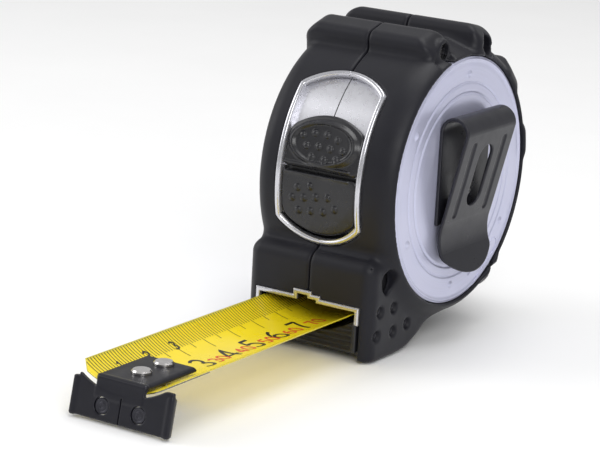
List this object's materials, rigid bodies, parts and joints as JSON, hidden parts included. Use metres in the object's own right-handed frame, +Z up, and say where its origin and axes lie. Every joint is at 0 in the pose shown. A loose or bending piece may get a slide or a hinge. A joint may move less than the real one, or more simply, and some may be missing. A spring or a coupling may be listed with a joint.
{
  "type": "tape measure",
  "caption": "Pocket tape measure: arched yellow blade with an end hook, rubber-covered case, sliding lock, brake pad, belt clip.",
  "frame": {"origin": "point of the flat base straight below the reel's axis", "axes": "+X across the case towards the belt clip, +Y from the hook to the back of the case, +Z up"},
  "size_m": [0.0476, 0.1471, 0.0783],
  "materials": {
    "case_plastic": "satin silver",
    "grip_rubber": "soft satin",
    "side_plate": "satin silver with a lavender cast",
    "black_plastic": "fine matt",
    "inner_plastic": "matt",
    "button_plastic": "soft satin",
    "bright_steel": "bright",
    "rivet_steel": "polished",
    "spring_steel": "blued",
    "clip_steel": "satin dark grey",
    "black_steel": "satin black",
    "magnet": "dark nickel",
    "blade_yellow": "gloss yellow"
  },
  "bodies": {
    "case": {"case_left": "case_plastic", "case_right": "case_plastic", "grip_left": "grip_rubber", "grip_right": "grip_rubber", "side_plate_left": "side_plate", "side_plate_right": "side_plate", "mouth_lip": "black_plastic", "hook_buffers": "grip_rubber", "spring_arbor": "bright_steel", "case_screws": "bright_steel", "belt_clip": "clip_steel", "clip_screw": "black_steel", "brake_springs": "spring_steel"},
    "reel": {"reel_drum": "inner_plastic", "reel_cap": "inner_plastic", "blade_coil": "blade_yellow", "blade_anchor": "bright_steel", "power_spring": "spring_steel"},
    "blade": {"blade_strip": "blade_yellow", "tip_stiffener": "bright_steel", "hook_rivets": "rivet_steel"},
    "hook": {"hook": "black_steel", "hook_magnets": "magnet"},
    "lock": {"lock_slider": "button_plastic", "lock_carrier": "spring_steel", "lock_shoe": "button_plastic"},
    "brake": {"brake_button": "button_plastic"}
  },
  "joints": [
    {"name": "reel_turn", "type": "hinge", "parent": "case", "child": "reel", "pos_m": [0, 0, 0.0403], "axis": [1, 0, 0], "range_deg": [0, 139.88]},
    {"name": "blade_slide", "type": "slide", "parent": "case", "child": "blade", "axis": [0, 1, 0], "range_m": [0, 0.0709], "deforming": ["blade_strip"]},
    {"name": "hook_float", "type": "slide", "parent": "blade", "child": "hook", "axis": [0, -1, 0], "range_m": [0, 0.001]},
    {"name": "lock_slide", "type": "hinge", "parent": "case", "child": "lock", "pos_m": [0, 0, 0.0403], "axis": [-1, 0, 0], "range_deg": [0, 10]},
    {"name": "brake_press", "type": "slide", "parent": "case", "child": "brake", "axis": [0, 0.9925, 0.1219], "range_m": [0, 0.0011], "stiffness_N_per_m": 600, "springref_m": -0.0005, "deforming": ["brake_springs"]}
  ],
  "couplings": [
    {"joint": "blade_slide", "follows": "reel_turn", "m_per_rad": 0.029}
  ]
}
